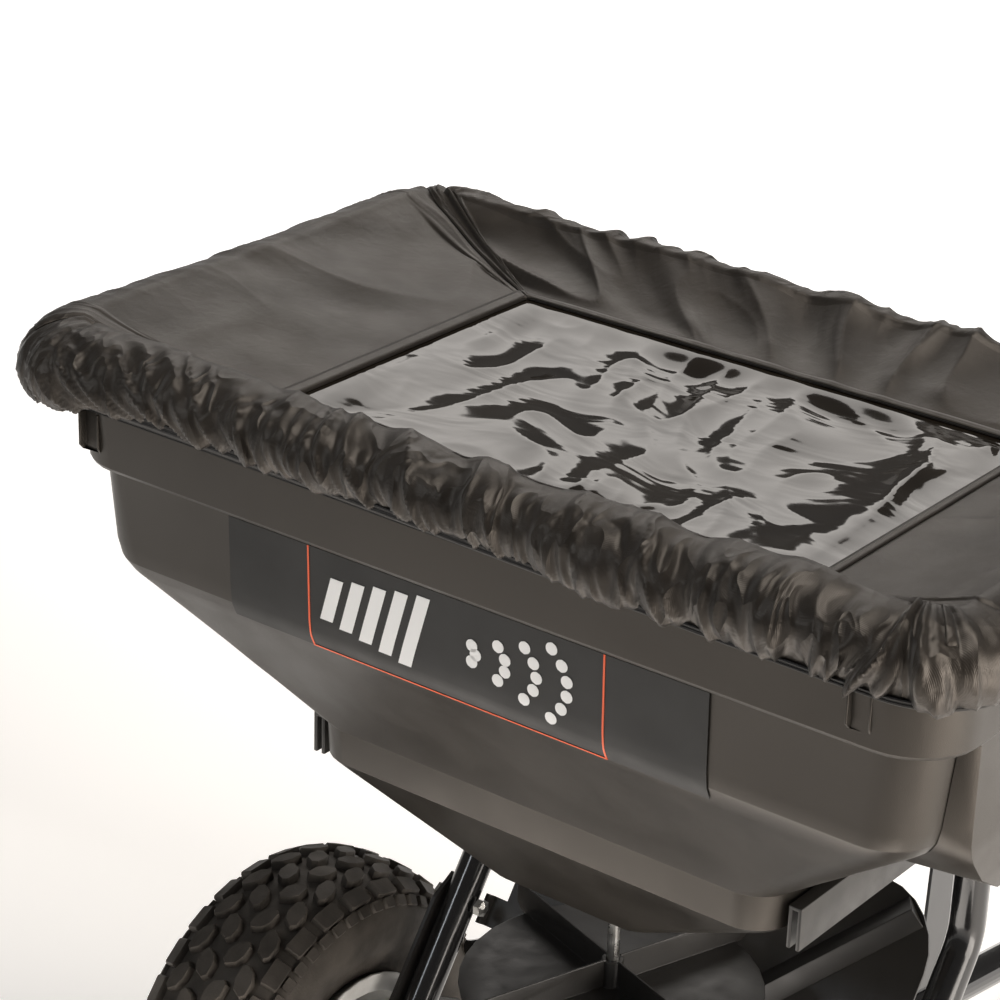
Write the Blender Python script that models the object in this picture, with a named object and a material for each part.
"""Tow behind broadcast spreader: poly hopper with a rain cover, tubular frame, axle-driven impeller.

Metres, +Z up, floor at Z = 0. X runs along the axle, +Y towards the towing vehicle.
Pieces are laid out with the hopper's centre at X = Y = 0, and group_pieces then moves the whole
so that the origin is under the middle of its bounding box.
"""
import math

import bmesh
import bpy
from mathutils import Matrix, Vector

# ---------------------------------------------------------------- driving dimensions
TYRE_RADIUS = 0.165
TYRE_WIDTH = 0.122
WHEEL_X = 0.290
AXLE_RADIUS = 0.008
DRIVE_Y = -0.006
BAND_Z = 0.722
BAND_X = 0.345
BAND_Y = 0.197
WALL = 0.0036
LIP = 0.022
LIP_X = BAND_X + LIP
LIP_Y = BAND_Y + LIP - 0.002
TUBE_RADIUS = 0.013
TUBE_X = 0.200
TUBE_TOP_Y = 0.142
TUBE_BEND_Z = BAND_Z - 0.323
TUBE_LEAN = 0.70
SHEET = 0.003
GAP = 0.0003
ROUND = 24
CORNER_STEPS = 7

AXLE_Z = TYRE_RADIUS
DRIVE = Vector((0.0, DRIVE_Y, AXLE_Z))
FRAME_SIDES = (("left", -1), ("right", 1))


# ---------------------------------------------------------------- scene and materials
def clear_scene():
    for old in list(bpy.data.objects):
        bpy.data.objects.remove(old, do_unlink=True)


def make_material(name, colour, roughness, metallic=0.0):
    material = bpy.data.materials.new(name)
    material.use_nodes = True
    shader = material.node_tree.nodes["Principled BSDF"]
    shader.inputs["Base Color"].default_value = (*colour, 1.0)
    shader.inputs["Roughness"].default_value = roughness
    shader.inputs["Metallic"].default_value = metallic
    return material


clear_scene()
MATERIALS = {
    "poly": make_material("poly", (0.045, 0.042, 0.038), 0.5),
    "paint": make_material("paint", (0.012, 0.012, 0.013), 0.25),
    "zinc": make_material("zinc", (0.62, 0.63, 0.64), 0.35, 1.0),
    "rubber": make_material("rubber", (0.02, 0.02, 0.02), 0.85),
    "fabric": make_material("fabric", (0.04, 0.038, 0.036), 0.6),
    "vinyl": make_material("vinyl", (0.5, 0.5, 0.5), 0.08),
    "decal": make_material("decal", (0.03, 0.028, 0.026), 0.4),
    "nylon": make_material("nylon", (0.8, 0.79, 0.75), 0.5),
    "grip": make_material("grip", (0.015, 0.015, 0.016), 0.5),
}


# ---------------------------------------------------------------- mesh helpers
def add_mesh(name, mesh_data, material, sharp=math.radians(32)):
    """Turns a bmesh into a named object with outward faces and smooth round sides."""
    bmesh.ops.recalc_face_normals(mesh_data, faces=mesh_data.faces)
    mesh = bpy.data.meshes.new(name)
    mesh_data.to_mesh(mesh)
    mesh_data.free()
    mesh.shade_smooth()
    mesh.set_sharp_from_angle(angle=sharp)
    piece = bpy.data.objects.new(name, mesh)
    bpy.context.scene.collection.objects.link(piece)
    piece.data.materials.append(MATERIALS[material])
    return piece


def skin(mesh_data, rings, closed=False):
    """Joins equal rings of points with quads; open stacks get an end face each."""
    rows = [[mesh_data.verts.new(point) for point in ring] for ring in rings]
    pairs = list(zip(rows, rows[1:]))
    if closed:
        pairs.append((rows[-1], rows[0]))
    count = len(rows[0])
    for lower, upper in pairs:
        for i in range(count):
            j = (i + 1) % count
            mesh_data.faces.new((lower[i], lower[j], upper[j], upper[i]))
    if not closed:
        mesh_data.faces.new(rows[0][::-1])
        mesh_data.faces.new(rows[-1])


def frame_for(axis):
    """Rotation that takes +Z to the given axis."""
    return Vector((0, 0, 1)).rotation_difference(Vector(axis)).to_matrix().to_4x4()


def turned(name, profile, centre, axis, material, segments=ROUND, ring=False, phase=0.0):
    """Turns (radius, height) points about an axis: a ring section, or a solid from end to end."""
    place = Matrix.Translation(centre) @ frame_for(axis)
    rings = []
    for radius, height in profile:
        turn = [2 * math.pi * (i + phase) / segments for i in range(segments)]
        rings.append([place @ Vector((radius * math.cos(a), radius * math.sin(a), height)) for a in turn])
    data = bmesh.new()
    skin(data, rings, closed=ring)
    return add_mesh(name, data, material)


def rod(name, start, end, radius, material, segments=ROUND):
    start, end = Vector(start), Vector(end)
    length = (end - start).length
    return turned(name, [(radius, 0), (radius, length)], start, end - start, material, segments)


def block(name, low, high, material):
    data = bmesh.new()
    bmesh.ops.create_cube(data, size=1.0)
    low, high = Vector(low), Vector(high)
    for vert in data.verts:
        vert.co = Vector((low[i] + (vert.co[i] + 0.5) * (high[i] - low[i]) for i in range(3)))
    return add_mesh(name, data, material)


def plate(name, outline, thickness, place, material):
    """Extrudes a flat outline by its thickness along local Z, then places it."""
    data = bmesh.new()
    rings = [[place @ Vector((x, y, z)) for x, y in outline] for z in (0.0, thickness)]
    skin(data, rings)
    return add_mesh(name, data, material)


def rounded_outline(width, height, radius, steps=4):
    """A rectangle about the origin with round corners."""
    points = []
    for corner, (sx, sy) in enumerate(((1, 1), (-1, 1), (-1, -1), (1, -1))):
        cx = sx * (width / 2 - radius)
        cy = sy * (height / 2 - radius)
        for i in range(steps + 1):
            angle = math.pi / 2 * (corner + i / steps)
            points.append((cx + radius * math.cos(angle), cy + radius * math.sin(angle)))
    return points


def bent_path(points, bend, steps=6):
    """A polyline whose inner corners become arcs of the given radius."""
    points = [Vector(p) for p in points]
    path = [points[0]]
    for before, corner, after in zip(points, points[1:], points[2:]):
        into = (before - corner).normalized()
        out = (after - corner).normalized()
        half = into.angle(out) / 2
        reach = bend / math.tan(half)
        centre = corner + (into + out).normalized() * (bend / math.sin(half))
        first = (corner + into * reach - centre).normalized()
        last = (corner + out * reach - centre).normalized()
        for i in range(steps + 1):
            path.append(centre + first.slerp(last, i / steps) * bend)
    path.append(points[-1])
    return path


def tube(name, points, radius, material, bend=0.05, resolution=4):
    """A bent tube as a bevelled curve with filled ends."""
    path = bent_path(points, bend)
    curve = bpy.data.curves.new(name, "CURVE")
    curve.dimensions = "3D"
    curve.bevel_depth = radius
    curve.bevel_resolution = resolution
    curve.use_fill_caps = True
    spline = curve.splines.new("POLY")
    spline.points.add(len(path) - 1)
    for node, point in zip(spline.points, path):
        node.co = (*point, 1.0)
    piece = bpy.data.objects.new(name, curve)
    bpy.context.scene.collection.objects.link(piece)
    curve.materials.append(MATERIALS[material])
    return piece


def hide_tool(tool):
    tool.hide_render = True
    tool.display_type = "WIRE"


def combine(piece, tool, operation):
    """Adds an exact Boolean of a hidden tool object."""
    hide_tool(tool)
    change = piece.modifiers.new(tool.name, "BOOLEAN")
    change.operation = operation
    change.solver = "EXACT"
    change.object = tool


def cut(piece, *tools):
    for tool in tools:
        combine(piece, tool, "DIFFERENCE")


def join(piece, *tools):
    for tool in tools:
        combine(piece, tool, "UNION")


# ---------------------------------------------------------------- hopper
def tub_ring(z, half_x, half_y, radius, bulge_x=0.0, bulge_y=0.0, centre=(0.0, 0.0)):
    """One level of the hopper: a rounded rectangle whose ends may step out by a central bulge."""
    step = 0.005
    end_x = max(bulge_x, half_x)
    end_y = bulge_y if bulge_y else half_y - radius - 2 * step
    flank = [(half_x, -end_y - step), (end_x, -end_y + step), (end_x, -end_y * 0.45)]
    flank += [(x, -y) for x, y in reversed(flank)]
    corner = [math.pi / 2 * i / CORNER_STEPS for i in range(CORNER_STEPS + 1)]
    points = list(flank)
    in_x, in_y = half_x - radius, half_y - radius
    points += [(in_x + radius * math.cos(a), in_y + radius * math.sin(a)) for a in corner]
    points += [(-x, y) for x, y in reversed(points[len(flank):])]
    points += [(-x, -y) for x, y in flank]
    points += [(-in_x - radius * math.cos(a), -in_y - radius * math.sin(a)) for a in corner]
    points += [(-x, y) for x, y in reversed(points[-len(corner):])]
    return [Vector((centre[0] + x, centre[1] + y, z)) for x, y in points]


# Level below or above the lower edge of the rim band, half length, half width, corner radius,
# and the end bulge's face and half width.
HOPPER_LEVELS = (
    (0.084, BAND_X - 0.003, BAND_Y - 0.003, 0.040, 0.0, 0.0),
    (0.086, LIP_X - 0.006, LIP_Y - 0.006, 0.048, 0.0, 0.0),
    (0.081, LIP_X, LIP_Y, 0.052, 0.0, 0.0),
    (0.069, LIP_X, LIP_Y, 0.052, 0.0, 0.0),
    (0.066, BAND_X + 0.003, BAND_Y + 0.003, 0.048, 0.0, 0.0),
    (0.003, BAND_X, BAND_Y, 0.045, 0.0, 0.0),
    (0.000, BAND_X - 0.002, BAND_Y - 0.002, 0.043, 0.0, 0.0),
    (-0.001, 0.3335, 0.1872, 0.038, BAND_X - 0.0021, 0.150),
    (-0.058, 0.3270, 0.1852, 0.036, BAND_X - 0.0030, 0.148),
    (-0.070, 0.3240, 0.1838, 0.036, BAND_X - 0.0035, 0.147),
    (-0.079, 0.3180, 0.1798, 0.036, BAND_X - 0.0040, 0.144),
    (-0.087, 0.3095, 0.1742, 0.036, BAND_X - 0.0050, 0.138),
    (-0.104, 0.2888, 0.1635, 0.036, BAND_X - 0.0060, 0.124),
    (-0.123, 0.2656, 0.1516, 0.036, BAND_X - 0.0100, 0.095),
    (-0.137, 0.2486, 0.1428, 0.034, BAND_X - 0.0200, 0.068),
    (-0.146, 0.2376, 0.1372, 0.034, BAND_X - 0.0400, 0.040),
    (-0.150, 0.2327, 0.1347, 0.034, 0.2350, 0.030),
    (-0.183, 0.1925, 0.1140, 0.030, 0.0, 0.0),
    (-0.209, 0.1915, 0.1130, 0.030, 0.0, 0.0),
    (-0.214, 0.1860, 0.1090, 0.028, 0.0, 0.0),
    (-0.277, 0.0720, 0.0700, 0.022, 0.0, 0.0),
    (-0.280, 0.0650, 0.0660, 0.020, 0.0, 0.0),
)
HOPPER_FLOOR_Z = BAND_Z + HOPPER_LEVELS[-1][0]
OUTLET_X = (-0.030, 0.030)
OUTLET_Y = (0.014, 0.050)
SHAFT_RADIUS = 0.0046


def build_hopper():
    inner = []
    for z, half_x, half_y, radius, bulge_x, bulge_y in HOPPER_LEVELS[5:][::-1]:
        bulge = bulge_x - WALL if bulge_x else 0.0
        inner.append(tub_ring(BAND_Z + z + WALL, half_x - WALL, half_y - WALL, radius - 0.002,
                              bulge, max(bulge_y - WALL, 0.0)))
    outer = [tub_ring(BAND_Z + level[0], *level[1:]) for level in HOPPER_LEVELS]
    data = bmesh.new()
    skin(data, inner + outer)
    hopper = add_mesh("hopper", data, "poly")
    shaft_hole = turned("cut_shaft_hole", [(0.0115, -0.01), (0.0115, 0.02)],
                        (0, DRIVE_Y, HOPPER_FLOOR_Z), (0, 0, 1), "poly", 16)
    outlet = block("cut_outlet", (OUTLET_X[0], OUTLET_Y[0], HOPPER_FLOOR_Z - 0.01),
                   (OUTLET_X[1], OUTLET_Y[1], HOPPER_FLOOR_Z + 0.02), "poly")
    cut(hopper, shaft_hole, outlet)


def build_decal():
    """A thin label panel on the upper wall of the rear face."""
    top, low = BAND_Z - 0.005, BAND_Z - 0.068
    lean = math.atan2(0.1872 - 0.1852, 0.057)
    place = (Matrix.Translation((-0.008, -0.1874 - GAP - 0.0003, (top + low) / 2))
             @ Matrix.Rotation(math.pi / 2 + lean, 4, "X"))
    plate("decal_panel", rounded_outline(0.384, top - low, 0.004, 2), 0.0006, place, "decal")


# ---------------------------------------------------------------- rain cover
WINDOW_CENTRE = (0.024, -0.028)
WINDOW_HALF = (0.206, 0.136)
COVER_TOP_Z = BAND_Z + 0.0995
HEM_Z = BAND_Z + 0.047
ELASTIC_Z = BAND_Z + 0.033
WINDOW_Z = BAND_Z + 0.072
COVER_PUFF = 0.008


def build_rain_cover():
    """A fabric cap over the rim with a window opening; it hangs outside the lip."""
    cloth = 0.003
    outside = (
        (HEM_Z, LIP_X + 0.007, LIP_Y + 0.007, 0.056, (0, 0)),
        (COVER_TOP_Z - 0.010, LIP_X + COVER_PUFF, LIP_Y + COVER_PUFF, 0.056, (0, 0)),
        (COVER_TOP_Z, LIP_X - 0.004, LIP_Y - 0.004, 0.046, (0, 0)),
        (COVER_TOP_Z - 0.004, LIP_X - 0.030, LIP_Y - 0.026, 0.030, (0, 0)),
        (WINDOW_Z + cloth, WINDOW_HALF[0], WINDOW_HALF[1], 0.016, WINDOW_CENTRE),
    )
    inside = (
        (WINDOW_Z, WINDOW_HALF[0], WINDOW_HALF[1], 0.016, WINDOW_CENTRE),
        (COVER_TOP_Z - 0.004 - cloth, LIP_X - 0.030, LIP_Y - 0.026, 0.030, (0, 0)),
        (COVER_TOP_Z - cloth, LIP_X - 0.006, LIP_Y - 0.006, 0.045, (0, 0)),
        (COVER_TOP_Z - 0.012, LIP_X + 0.004, LIP_Y + 0.004, 0.054, (0, 0)),
        (HEM_Z, LIP_X + 0.003, LIP_Y + 0.003, 0.053, (0, 0)),
    )
    rings = [tub_ring(z, x, y, r, centre=c) for z, x, y, r, c in outside + inside]
    data = bmesh.new()
    skin(data, rings, closed=True)
    add_mesh("rain_cover", data, "fabric")

    elastic = [(HEM_Z - GAP, 0.0065), (HEM_Z - GAP, 0.0030), (ELASTIC_Z, 0.0030), (ELASTIC_Z, 0.0065)]
    data = bmesh.new()
    skin(data, [tub_ring(z, LIP_X + out, LIP_Y + out, 0.050 + out) for z, out in elastic], closed=True)
    add_mesh("cover_elastic", data, "fabric")

    sag = ((0.0, -GAP), (0.004, -0.030), (0.009, -0.075))
    top = [tub_ring(WINDOW_Z + 0.0020 - drop, WINDOW_HALF[0] + out, WINDOW_HALF[1] + out, 0.016,
                    centre=WINDOW_CENTRE) for drop, out in sag]
    under = [[point - Vector((0, 0, 0.0015)) for point in ring] for ring in top]
    data = bmesh.new()
    skin(data, top[::-1] + under)
    add_mesh("cover_window", data, "vinyl")


# ---------------------------------------------------------------- frame
CHANNEL_TOP = BAND_Z - 0.1885
TUBE_TOP_Z = CHANNEL_TOP - SHEET - GAP
CHANNEL_Y = (-0.096, 0.156)
CHANNEL_X = 0.2015
CROSS_Z = 0.461
DRAW_Y = 0.078
BOLT_Z = 0.302
TAB_X = TUBE_X - TUBE_RADIUS - GAP


def tube_y(z):
    """The side tube's centreline: upright above the bend, leaning back to the axle below it."""
    return TUBE_TOP_Y - TUBE_LEAN * max(TUBE_BEND_Z - z, 0.0)


def build_side(side, sign):
    foot_z = AXLE_Z + 0.030
    tube("frame_tube_" + side, [(sign * TUBE_X, TUBE_TOP_Y, TUBE_TOP_Z),
                                (sign * TUBE_X, TUBE_TOP_Y, TUBE_BEND_Z),
                                (sign * TUBE_X, tube_y(foot_z), foot_z)], TUBE_RADIUS, "paint")
    build_channel(side, sign)
    build_axle_plate(side, sign)


def build_channel(side, sign):
    """A folded steel saddle under the hopper's shoulder: its web lies on the tube, between two legs."""
    top, low = CHANNEL_TOP, BAND_Z - 0.2200
    x_out, x_wall = CHANNEL_X, 0.1945
    section = [(x_wall, low), (x_wall + SHEET, low), (x_wall + SHEET, top - SHEET), (x_out, top - SHEET),
               (x_out, low), (x_out + SHEET, low), (x_out + SHEET, top), (x_wall, top)]
    data = bmesh.new()
    rings = [[Vector((sign * x, y, z)) for x, z in section] for y in CHANNEL_Y]
    skin(data, rings)
    channel = add_mesh("support_channel_" + side, data, "paint")
    notch_y = TUBE_TOP_Y - TUBE_RADIUS - 0.0015
    relief = block("cut_channel_" + side, (sign * TUBE_X - 0.018, notch_y, low - 0.01),
                   (sign * TUBE_X + 0.018, CHANNEL_Y[1] + 0.01, top - SHEET), "paint")
    cut(channel, relief)


def build_axle_plate(side, sign):
    """The plate on the outside of the side tube that carries the axle bearing and the draw tube."""
    x_face = sign * (TUBE_X + TUBE_RADIUS + GAP)
    outline = [(tube_y(BOLT_Z) - 0.015, BOLT_Z + 0.004), (tube_y(BOLT_Z) + 0.008, BOLT_Z + 0.016),
               (tube_y(0.260) + 0.020, 0.262), (tube_y(0.225) + 0.024, 0.225),
               (0.094, 0.195), (0.098, 0.150), (0.020, 0.132), (-0.026, 0.132), (-0.036, 0.150),
               (-0.030, 0.185)]
    place = Matrix(((0, 0, sign, x_face), (1, 0, 0, 0), (0, 1, 0, 0), (0, 0, 0, 1)))
    panel = plate("axle_plate_" + side, outline, SHEET, place, "paint")
    hole = rod("cut_axle_" + side, (x_face - 0.01, DRIVE_Y, AXLE_Z), (x_face + 0.01, DRIVE_Y, AXLE_Z),
               0.0123, "paint")
    cut(panel, hole)
    profile = [(0.0084, -0.004), (0.0120, -0.004), (0.0120, SHEET + GAP), (0.0185, SHEET + GAP),
               (0.0185, SHEET + 0.0035), (0.0084, SHEET + 0.0035)]
    turned("axle_bearing_" + side, profile, (x_face, DRIVE_Y, AXLE_Z), (sign, 0, 0), "nylon", ring=True)


def build_cross_members():
    reach = TUBE_X - TUBE_RADIUS - GAP
    rod("crossover_tube", (-reach, TUBE_TOP_Y, CROSS_Z), (reach, TUBE_TOP_Y, CROSS_Z), 0.0105, "paint")
    draw_reach = TUBE_X + TUBE_RADIUS
    rod("draw_crossbar", (-draw_reach, DRAW_Y, AXLE_Z), (draw_reach, DRAW_Y, AXLE_Z), 0.0125, "paint")
    for side, sign in FRAME_SIDES:
        head = sign * (TUBE_X + TUBE_RADIUS + SHEET + 2 * GAP)
        nut = sign * (TAB_X - SHEET - GAP)
        turned("plate_bolt_" + side, [(0.0075, 0), (0.0075, 0.005)],
               (head, tube_y(BOLT_Z), BOLT_Z), (sign, 0, 0), "zinc", 6)
        turned("plate_nut_" + side, [(0.0070, 0), (0.0070, 0.0055), (0.0030, 0.0075)],
               (nut, tube_y(BOLT_Z), BOLT_Z), (-sign, 0, 0), "zinc", 6)


def build_deflector():
    """A sheet between the side tubes, ahead of the impeller, with a folded ridge down each half."""
    lean = math.atan(TUBE_LEAN)
    half, tall = 0.172, 0.215
    base_z = 0.226
    place = (Matrix.Translation((0, tube_y(base_z) + 0.026, base_z))
             @ Matrix.Rotation(math.pi / 2 - lean, 4, "X"))
    outline = [(x, y + tall / 2) for x, y in rounded_outline(2 * half, tall, 0.055, 6)]
    sheet = plate("deflector_plate", outline, 0.002, place, "paint")
    bolt = place.inverted() @ Vector((0, tube_y(BOLT_Z), BOLT_Z))
    for side, sign in FRAME_SIDES:
        low, high = bolt.y - 0.012, bolt.y + 0.012
        arm = [(sign * x, y) for x, y in ((0.150, low), (TAB_X, low), (TAB_X, high), (0.150, high))]
        tab = [(bolt.z - 0.010, low), (0.0015, low), (0.0015, high), (bolt.z - 0.010, high)]
        turn = Matrix(((0, 0, -sign, sign * TAB_X), (0, 1, 0, 0), (1, 0, 0, 0), (0, 0, 0, 1)))
        join(sheet, plate("tool_arm_" + side, arm, 0.002, place, "paint"),
             plate("tool_tab_" + side, tab, SHEET, place @ turn, "paint"))
        top = place @ Vector((sign * 0.150, tall * 0.93, 0.0021))
        low = place @ Vector((sign * 0.022, tall * 0.30, 0.0021))
        along = (low - top).normalized()
        face = (place.to_3x3() @ Vector((0, 0, 1))).normalized()
        across = along.cross(face) * 0.013
        lift = face * 0.011
        section = (-across + face * GAP, lift, across + face * GAP)
        data = bmesh.new()
        skin(data, [[end + offset for offset in section] for end in (top, low)])
        add_mesh("deflector_rib_" + side, data, "paint")


TONGUE_END_Y = 0.800
HITCH_Z = 0.034
PIN_Y = TONGUE_END_Y + 0.040
PIN_HANDLE = 0.045


def tongue_z(y):
    start = DRAW_Y + 0.0128
    return AXLE_Z + (HITCH_Z - AXLE_Z) * (y - start) / (TONGUE_END_Y - start)


def build_tongue():
    start = DRAW_Y + 0.0128
    rod("tow_tube", (0, start + 0.004, tongue_z(start + 0.004)), (0, TONGUE_END_Y, HITCH_Z), 0.016, "paint")
    for side, sign in FRAME_SIDES:
        y = 0.420
        path = [(sign * 0.190, tube_y(0.262) + 0.0262, 0.262), (sign * 0.120, 0.24, 0.235),
                (sign * 0.0262, y, tongue_z(y) + 0.010)]
        tube("tongue_brace_" + side, path, 0.0075, "paint", 0.06, 2)
    build_hitch()


def build_hitch():
    """A folded clevis over the tube's end, resting on the floor, with a bent pin through its ears."""
    y0, y1 = TONGUE_END_Y - 0.050, TONGUE_END_Y + 0.062
    half, ear = 0.024, 0.005
    top, low = HITCH_Z + 0.034, 0.0
    clevis = block("hitch_clevis", (-half, y0, low), (half, y1, top), "paint")
    jaw = block("cut_jaw", (-half - 0.01, TONGUE_END_Y + 0.008, low + ear),
                (half + 0.01, y1 + 0.01, top - ear), "paint")
    sleeve = rod("cut_sleeve", (0, y0 - 0.03, tongue_z(y0 - 0.03)),
                 (0, TONGUE_END_Y + 0.0004, HITCH_Z - 0.00007), 0.0164, "paint")
    hole = rod("cut_pin", (0, PIN_Y, low - 0.01), (0, PIN_Y, top + 0.01), 0.0066, "paint")
    cut(clevis, jaw, sleeve, hole)
    handle_z = top + 0.022
    tube("hitch_pin", [(0, PIN_Y, low + 0.001), (0, PIN_Y, handle_z), (0, PIN_Y + PIN_HANDLE, handle_z)],
         0.006, "zinc", 0.012, 3)


# ---------------------------------------------------------------- wheels and axle
def build_wheel(side, sign):
    centre = (sign * WHEEL_X, DRIVE_Y, AXLE_Z)
    axis = (sign, 0, 0)
    half = TYRE_WIDTH / 2
    r = TYRE_RADIUS
    tread = [(0.0815, -0.046), (0.092, -0.052), (0.112, -half + 0.002), (0.136, -half),
             (0.153, -half + 0.009), (r - 0.003, -0.034), (r, -0.012)]
    tyre = tread + [(radius, -x) for radius, x in reversed(tread)]
    turned("tyre_" + side, tyre, centre, axis, "rubber", 40, ring=True)
    rim = [(0.0095, -0.058), (0.018, -0.058), (0.018, -0.018), (0.058, -0.008), (0.068, -0.030),
           (0.070, -0.053), (0.086, -0.055), (0.086, -0.0525), (0.0808, -0.0505), (0.0780, -0.045),
           (0.0740, -0.020), (0.0740, 0.020), (0.0780, 0.045), (0.0808, 0.0505), (0.086, 0.0525),
           (0.086, 0.055), (0.070, 0.053), (0.068, 0.012), (0.058, 0.002), (0.018, -0.008),
           (0.018, 0.058), (0.0095, 0.058)]
    turned("rim_" + side, rim, centre, axis, "zinc", 32, ring=True)
    valve = Vector(centre) + Vector((sign * 0.020, 0, 0.0640))
    rod("valve_stem_" + side, valve, valve + Vector((sign * 0.036, 0, -0.012)), 0.0042, "rubber", 10)
    outer = sign * (WHEEL_X + 0.0585)
    turned("axle_washer_" + side, [(0.0086, 0), (0.016, 0), (0.016, 0.002), (0.0086, 0.002)],
           (outer, DRIVE_Y, AXLE_Z), axis, "zinc", ring=True)
    turned("axle_cap_" + side, [(0.0086, 0), (0.014, 0), (0.014, 0.006), (0.010, 0.0135), (0.0086, 0.0135)],
           (outer + sign * 0.0025, DRIVE_Y, AXLE_Z), axis, "zinc", ring=True)
    inner = sign * (WHEEL_X - 0.0583)
    spacer = abs(inner) - (TUBE_X + TUBE_RADIUS + SHEET + 0.0042)
    turned("axle_spacer_" + side, [(0.0086, 0), (0.0125, 0), (0.0125, spacer), (0.0086, spacer)],
           (inner, DRIVE_Y, AXLE_Z), (-sign, 0, 0), "zinc", ring=True)


def build_axle():
    reach = WHEEL_X + 0.073
    rod("axle", (-reach, DRIVE_Y, AXLE_Z), (reach, DRIVE_Y, AXLE_Z), AXLE_RADIUS, "zinc")


# ---------------------------------------------------------------- drive: gears, shaft, impeller
CROWN_TEETH = 24
PINION_TEETH = 8
CROWN_RADIUS = 0.030
PINION_RADIUS = CROWN_RADIUS * PINION_TEETH / CROWN_TEETH
CROWN_FACE_X = PINION_RADIUS


def build_crown_gear():
    """A face gear on the axle: teeth stand on its disc towards the shaft."""
    root_x = CROWN_FACE_X + 0.0028
    profile = [(0.0086, root_x), (0.036, root_x), (0.036, root_x + 0.006), (0.016, root_x + 0.006),
               (0.016, root_x + 0.016), (0.0086, root_x + 0.016)]
    gear = turned("crown_gear", profile, DRIVE, (1, 0, 0), "zinc", ring=True)
    data = bmesh.new()
    for i in range(CROWN_TEETH):
        angle = 2 * math.pi * (i + 0.5) / CROWN_TEETH
        turn = Matrix.Translation(DRIVE) @ Matrix.Rotation(angle, 4, "X")
        rings = []
        for x, half in ((root_x + 0.001, 0.0016), (CROWN_FACE_X - 0.0018, 0.0009)):
            rings.append([turn @ Vector((x, half * s, CROWN_RADIUS + 0.005 * t))
                          for s, t in ((-1, -1), (1, -1), (1, 1), (-1, 1))])
        skin(data, rings)
    teeth = add_mesh("tool_crown_teeth", data, "zinc")
    join(gear, teeth)


def build_pinion():
    """A spur pinion on the impeller shaft, with straight tapered teeth."""
    outline = []
    for i in range(PINION_TEETH):
        base = 2 * math.pi * i / PINION_TEETH
        for turn, radius in ((-0.25, 0.0076), (-0.10, PINION_RADIUS + 0.0018),
                             (0.10, PINION_RADIUS + 0.0018), (0.25, 0.0076)):
            angle = base + turn * 2 * math.pi / PINION_TEETH * 0.9
            outline.append((radius * math.cos(angle), radius * math.sin(angle)))
    place = Matrix.Translation(DRIVE + Vector((0, 0, CROWN_RADIUS - 0.005)))
    gear = plate("pinion_gear", outline, 0.012, place, "zinc")
    bore = rod("cut_pinion", DRIVE + Vector((0, 0, 0.010)), DRIVE + Vector((0, 0, 0.060)), 0.0050, "zinc", 16)
    cut(gear, bore)


CASE_X = (-0.034, 0.040)
CASE_TOP = 0.058


def build_gear_case():
    """Two cast halves split on the axle's plane, with a boss for each shaft."""
    wall = 0.004
    x0, x1 = CASE_X
    for name, z0, z1 in (("gear_case_upper", 0.0004, CASE_TOP), ("gear_case_lower", -0.046, -0.0004)):
        shell = block(name, DRIVE + Vector((x0, -0.045, z0)), DRIVE + Vector((x1, 0.045, z1)), "poly")
        upper = z1 > 0.01
        room_low = z0 - 0.01 if upper else z0 + wall
        room_high = z1 - wall if upper else z1 + 0.01
        room = block("cut_room_" + name, DRIVE + Vector((x0 + wall, -0.041, room_low)),
                     DRIVE + Vector((x1 - wall, 0.041, room_high)), "poly")
        along = Vector((0.08, 0, 0))
        bore = rod("cut_bore_" + name, DRIVE - along, DRIVE + along, 0.0086, "poly")
        cut(shell, room, bore)
        if upper:
            hole = rod("cut_top_" + name, DRIVE + Vector((0, 0, 0.03)), DRIVE + Vector((0, 0, 0.09)),
                       0.0054, "poly")
            cut(shell, hole)


IMPELLER_Z = 0.3475
FIN_REACH = 0.122
FIN_TURN = math.radians(-19)


def build_impeller():
    """A plate with four upright fins and a hub sleeve, pinned to the shaft."""
    disc = turned("impeller", [(0.110, 0), (0.110, 0.002), (0.0081, 0.002), (0.0081, 0.0225),
                               (0.0049, 0.0225), (0.0049, 0)],
                  (0, DRIVE_Y, IMPELLER_Z), (0, 0, 1), "paint", 36, ring=True)
    for i in range(4):
        angle = FIN_TURN + i * math.pi / 2
        turn = (Matrix.Translation((0, DRIVE_Y, IMPELLER_Z)) @ Matrix.Rotation(angle, 4, "Z")
                @ Matrix.Rotation(math.pi / 2, 4, "X"))
        outline = [(0.0066, 0.001), (FIN_REACH - 0.006, 0.001), (FIN_REACH, 0.007), (FIN_REACH, 0.019),
                   (FIN_REACH - 0.004, 0.0235), (0.0066, 0.0235)]
        fin = plate("tool_fin_%d" % i, outline, 0.0016, turn @ Matrix.Translation((0, 0, -0.0008)), "paint")
        join(disc, fin)


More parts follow.
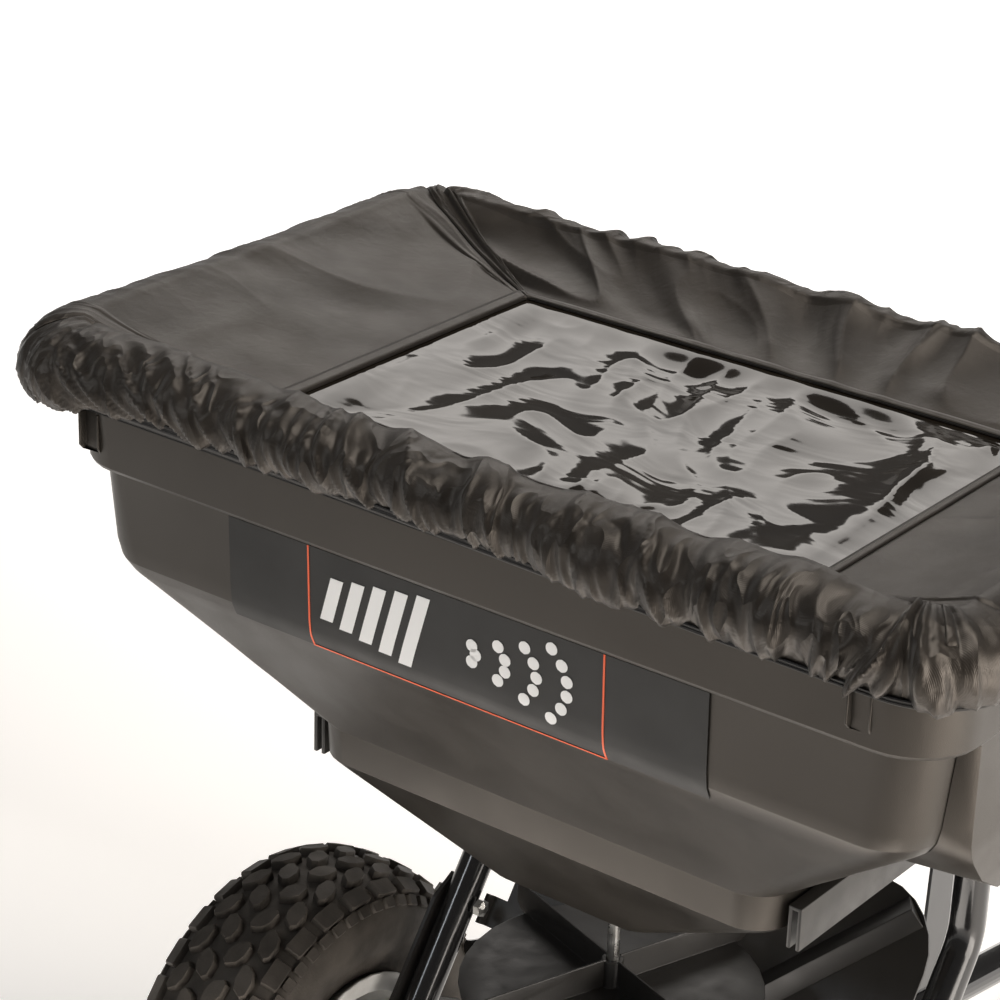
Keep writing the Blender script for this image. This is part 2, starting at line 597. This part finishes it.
def build_shaft():
    top = HOPPER_FLOOR_Z + 0.045
    shaft = rod("impeller_shaft", (0, DRIVE_Y, AXLE_Z + 0.0125), (0, DRIVE_Y, top), SHAFT_RADIUS, "zinc", 16)
    pin_z = HOPPER_FLOOR_Z + 0.030
    hole = rod("cut_agitator", (-0.02, DRIVE_Y, pin_z), (0.02, DRIVE_Y, pin_z), 0.0024, "zinc", 10)
    cut(shaft, hole)
    rod("agitator_pin", (-0.034, DRIVE_Y, pin_z), (0.034, DRIVE_Y, pin_z), 0.0020, "zinc", 10)
    turned("shaft_bushing", [(0.0050, -0.006), (0.0110, -0.006), (0.0110, WALL + GAP), (0.0160, WALL + GAP),
                             (0.0160, WALL + 0.003), (0.0050, WALL + 0.003)],
           (0, DRIVE_Y, HOPPER_FLOOR_Z), (0, 0, 1), "nylon", 16, ring=True)
    turned("impeller_collar", [(0.0050, 0), (0.0115, 0), (0.0115, 0.0025), (0.0050, 0.0025)],
           (0, DRIVE_Y, IMPELLER_Z - 0.0030), (0, 0, 1), "zinc", 16, ring=True)


# ---------------------------------------------------------------- flow control
GATE_Z = HOPPER_FLOOR_Z - 0.0003
LEVER_Y = 0.480
LEVER_PIVOT_Z = 0.321
ROD_X = 0.020
ROD_Z = 0.4345


def build_gate():
    """A steel gate under the floor, held up by two guide strips."""
    thick = 0.002
    shelf_z = GATE_Z - thick - GAP
    block("gate_plate", (-0.036, 0.010, GATE_Z - thick), (0.036, 0.062, GATE_Z), "zinc")
    for side, sign in FRAME_SIDES:
        x_lip, x_in, x_out = sign * 0.030, sign * 0.0365, sign * 0.046
        data = bmesh.new()
        section = [(x_lip, shelf_z - 0.0015), (x_out, shelf_z - 0.0015), (x_out, GATE_Z), (x_in, GATE_Z),
                   (x_in, shelf_z), (x_lip, shelf_z)]
        rings = [[Vector((x, y, z)) for x, z in section] for y in (0.006, 0.062)]
        skin(data, rings)
        add_mesh("gate_guide_" + side, data, "zinc")


def build_flow_rod():
    """A round rod hooked to the gate, with a slotted flat end on the lever's stud."""
    y_gate = 0.068
    shank = rod("flow_rod", (ROD_X, y_gate, ROD_Z), (ROD_X, LEVER_Y - 0.018, ROD_Z), 0.003, "zinc", 10)
    eye = block("tool_rod_eye", (ROD_X - 0.0015, LEVER_Y - 0.020, ROD_Z - 0.018),
                (ROD_X + 0.0015, LEVER_Y + 0.012, ROD_Z + 0.012), "zinc")
    tab = block("tool_rod_tab", (ROD_X - 0.006, 0.0625, GATE_Z - 0.0095),
                (ROD_X + 0.006, 0.0700, GATE_Z - 0.0004), "zinc")
    join(shank, eye, tab)
    slot = block("cut_rod_slot", (ROD_X - 0.01, LEVER_Y - 0.0045, ROD_Z - 0.0125),
                 (ROD_X + 0.01, LEVER_Y + 0.0045, ROD_Z + 0.0045), "zinc")
    cut(shank, slot)


def build_control():
    """Lever on a bracket that stands on the tow tube, with a stop that sets the opening."""
    bracket_x = 0.0005
    foot = 0.0170
    outline = [(LEVER_Y - 0.030, tongue_z(LEVER_Y - 0.030) + foot),
               (LEVER_Y + 0.030, tongue_z(LEVER_Y + 0.030) + foot), (LEVER_Y + 0.026, LEVER_PIVOT_Z - 0.02),
               (LEVER_Y + 0.064, LEVER_PIVOT_Z + 0.034), (LEVER_Y + 0.064, LEVER_PIVOT_Z + 0.062),
               (LEVER_Y + 0.010, LEVER_PIVOT_Z + 0.062), (LEVER_Y - 0.018, LEVER_PIVOT_Z + 0.020)]
    side_place = Matrix(((0, 0, 1, bracket_x), (1, 0, 0, 0), (0, 1, 0, 0), (0, 0, 0, 1)))
    bracket = plate("control_bracket", outline, SHEET, side_place, "paint")
    pivot = Vector((0, LEVER_Y, LEVER_PIVOT_Z))
    across = Vector((0.03, 0, 0))
    pivot_hole = rod("cut_pivot", pivot - across, pivot + across, 0.0044, "paint", 16)
    stop_y, stop_z = LEVER_Y + 0.037, LEVER_PIVOT_Z + 0.048
    slot = block("cut_stop_slot", (-0.02, stop_y - 0.004, stop_z - 0.0036),
                 (0.02, stop_y + 0.016, stop_z + 0.0036), "paint")
    cut(bracket, pivot_hole, slot)

    lever_x = bracket_x + SHEET + 0.0015
    outline = [(LEVER_Y - 0.010, LEVER_PIVOT_Z - 0.012), (LEVER_Y + 0.010, LEVER_PIVOT_Z - 0.012),
               (LEVER_Y + 0.009, LEVER_PIVOT_Z + 0.230), (LEVER_Y - 0.009, LEVER_PIVOT_Z + 0.230)]
    lever_place = Matrix.Translation((lever_x - bracket_x, 0, 0)) @ side_place
    lever = plate("control_lever", outline, 0.004, lever_place, "paint")
    hole = rod("cut_lever", pivot - across, pivot + across, 0.0044, "paint", 16)
    cut(lever, hole)
    stud = rod("tool_lever_stud", (lever_x + 0.003, LEVER_Y, ROD_Z), (ROD_X + 0.008, LEVER_Y, ROD_Z),
               0.0030, "paint", 12)
    join(lever, stud)
    turned("lever_bolt", [(0.0075, -0.0065), (0.0075, -0.0015), (0.0040, -0.0013), (0.0040, 0.0100),
                          (0.0075, 0.0102), (0.0075, 0.0155)],
           pivot + Vector((bracket_x + 0.0009, 0, 0)), (1, 0, 0), "zinc", 12)
    turned("lever_grip", [(0.0110, 0), (0.0150, 0.006), (0.0165, 0.030), (0.0140, 0.075), (0.0095, 0.090)],
           pivot + Vector((lever_x + 0.002, 0, 0.2305)), (0, 0, 1), "grip", 20)
    turned("stop_bolt", [(0.0070, -0.0060), (0.0070, -0.0012), (0.0030, -0.0010), (0.0030, 0.0150)],
           (bracket_x + 0.0007, stop_y, stop_z), (1, 0, 0), "zinc", 12)
    wing = turned("stop_wing_nut", [(0.0034, 0), (0.0080, 0), (0.0060, 0.0060), (0.0034, 0.0060)],
                  (bracket_x + SHEET + 0.0006, stop_y, stop_z), (1, 0, 0), "zinc", 12, ring=True)
    ear_x = bracket_x + SHEET + 0.002
    for side, sign in FRAME_SIDES:
        ear_z = stop_z + sign * 0.0105
        ear = block("tool_wing_" + side, (ear_x, stop_y - 0.0008, ear_z - 0.0055),
                    (ear_x + 0.007, stop_y + 0.0008, ear_z + 0.0055), "zinc")
        join(wing, ear)


# ---------------------------------------------------------------- assembly
PIVOTS = {
    "axle_axis": (DRIVE, ("axle", "crown_gear", "tyre_right", "rim_right", "valve_stem_right")),
    "idle_wheel_axis": (DRIVE, ("tyre_left", "rim_left", "valve_stem_left")),
    "impeller_axis": ((0, DRIVE_Y, IMPELLER_Z),
                      ("impeller", "impeller_shaft", "pinion_gear", "agitator_pin", "impeller_collar")),
    "lever_axis": ((0, LEVER_Y, LEVER_PIVOT_Z), ("control_lever", "lever_grip")),
    "gate_slide": ((ROD_X, 0, ROD_Z), ("gate_plate", "flow_rod")),
    "stop_slide": ((0, LEVER_Y, LEVER_PIVOT_Z), ("stop_bolt", "stop_wing_nut")),
    "hitch_pin_lift": ((0, PIN_Y, HITCH_Z), ("hitch_pin",)),
    "cover_lift": ((0, 0, HEM_Z), ("rain_cover", "cover_window", "cover_elastic")),
}


def group_pieces():
    """Parents each moving piece to an empty on its axis, and centres the whole over the origin."""
    front = PIN_Y + PIN_HANDLE
    back = -(LIP_Y + COVER_PUFF)
    base = bpy.data.objects.new("spreader", None)
    bpy.context.scene.collection.objects.link(base)
    for name, (place, nodes) in PIVOTS.items():
        pivot = bpy.data.objects.new(name, None)
        pivot.location = place
        bpy.context.scene.collection.objects.link(pivot)
        for node in nodes:
            piece = bpy.data.objects[node]
            piece.parent = pivot
            piece.matrix_parent_inverse = Matrix.Translation(-Vector(place))
    for piece in bpy.data.objects:
        if piece.parent is None and piece is not base:
            piece.parent = base
    base.location.y = -(front + back) / 2


build_hopper()
build_decal()
build_rain_cover()
for side_name, side_sign in FRAME_SIDES:
    build_side(side_name, side_sign)
    build_wheel(side_name, side_sign)
build_cross_members()
build_deflector()
build_tongue()
build_axle()
build_crown_gear()
build_pinion()
build_gear_case()
build_impeller()
build_shaft()
build_gate()
build_flow_rod()
build_control()
group_pieces()
